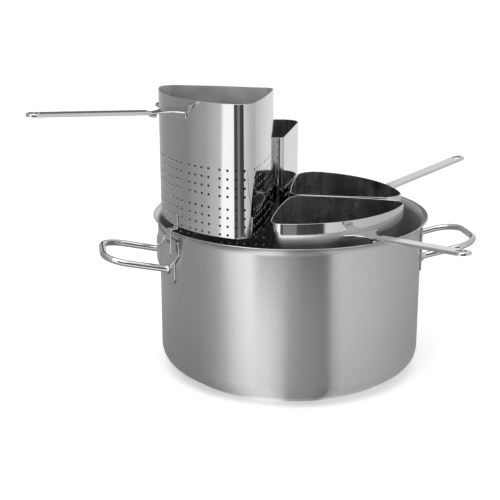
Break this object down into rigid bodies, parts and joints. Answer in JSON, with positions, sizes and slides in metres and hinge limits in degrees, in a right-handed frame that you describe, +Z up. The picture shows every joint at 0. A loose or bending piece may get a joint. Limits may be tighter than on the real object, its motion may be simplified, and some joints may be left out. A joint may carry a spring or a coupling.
{
  "type": "pasta pot with strainer insert",
  "caption": "Wide stainless pot with flared rim and loop handles, holding quarter-sector perforated strainer baskets on long channel handles.",
  "frame": {"origin": "centre of the pot's underside", "axes": "+Z up along the pot's axis; the two loop handles lie on the X axis"},
  "size_m": [0.657, 0.6547, 0.3888],
  "materials": {
    "pot_satin": "satin, fine horizontal brushing",
    "base_satin": "turned",
    "core_aluminium": "sealed, not seen",
    "loop_polished": "polished",
    "plate_satin": "polished",
    "basket_polished": "mirror polished, perforated",
    "handle_steel": "polished, lightly brushed along its length"
  },
  "bodies": {
    "pot": {"pot_body": "pot_satin", "base_cap": "base_satin", "base_core": "core_aluminium", "loop_handle_left": "loop_polished", "loop_handle_right": "loop_polished", "handle_plate_left": "plate_satin", "handle_plate_right": "plate_satin"},
    "basket_front_right": {"basket_wall_front_right": "basket_polished", "basket_floor_front_right": "basket_polished", "drain_hook_front_right": "basket_polished", "handle_bracket_front_right": "handle_steel", "handle_bar_front_right": "handle_steel"},
    "basket_back_right": {"basket_wall_back_right": "basket_polished", "basket_floor_back_right": "basket_polished", "drain_hook_back_right": "basket_polished", "handle_bracket_back_right": "handle_steel", "handle_bar_back_right": "handle_steel"},
    "basket_back_left": {"basket_wall_back_left": "basket_polished", "basket_floor_back_left": "basket_polished", "drain_hook_back_left": "basket_polished", "handle_bracket_back_left": "handle_steel", "handle_bar_back_left": "handle_steel"},
    "basket_front_left": {"basket_wall_front_left": "basket_polished", "basket_floor_front_left": "basket_polished", "drain_hook_front_left": "basket_polished", "handle_bracket_front_left": "handle_steel", "handle_bar_front_left": "handle_steel"}
  },
  "joints": [
    {"name": "lift_front_right", "type": "slide", "parent": "pot", "child": "basket_front_right", "axis": [0, 0, 1], "range_m": [0, 0.18]},
    {"name": "lift_back_right", "type": "slide", "parent": "pot", "child": "basket_back_right", "axis": [0, 0, 1], "range_m": [0, 0.18]},
    {"name": "lift_back_left", "type": "slide", "parent": "pot", "child": "basket_back_left", "axis": [0, 0, 1], "range_m": [0, 0.11]},
    {"name": "lift_front_left", "type": "slide", "parent": "pot", "child": "basket_front_left", "axis": [0, 0, 1], "range_m": [0, 0.06]}
  ]
}
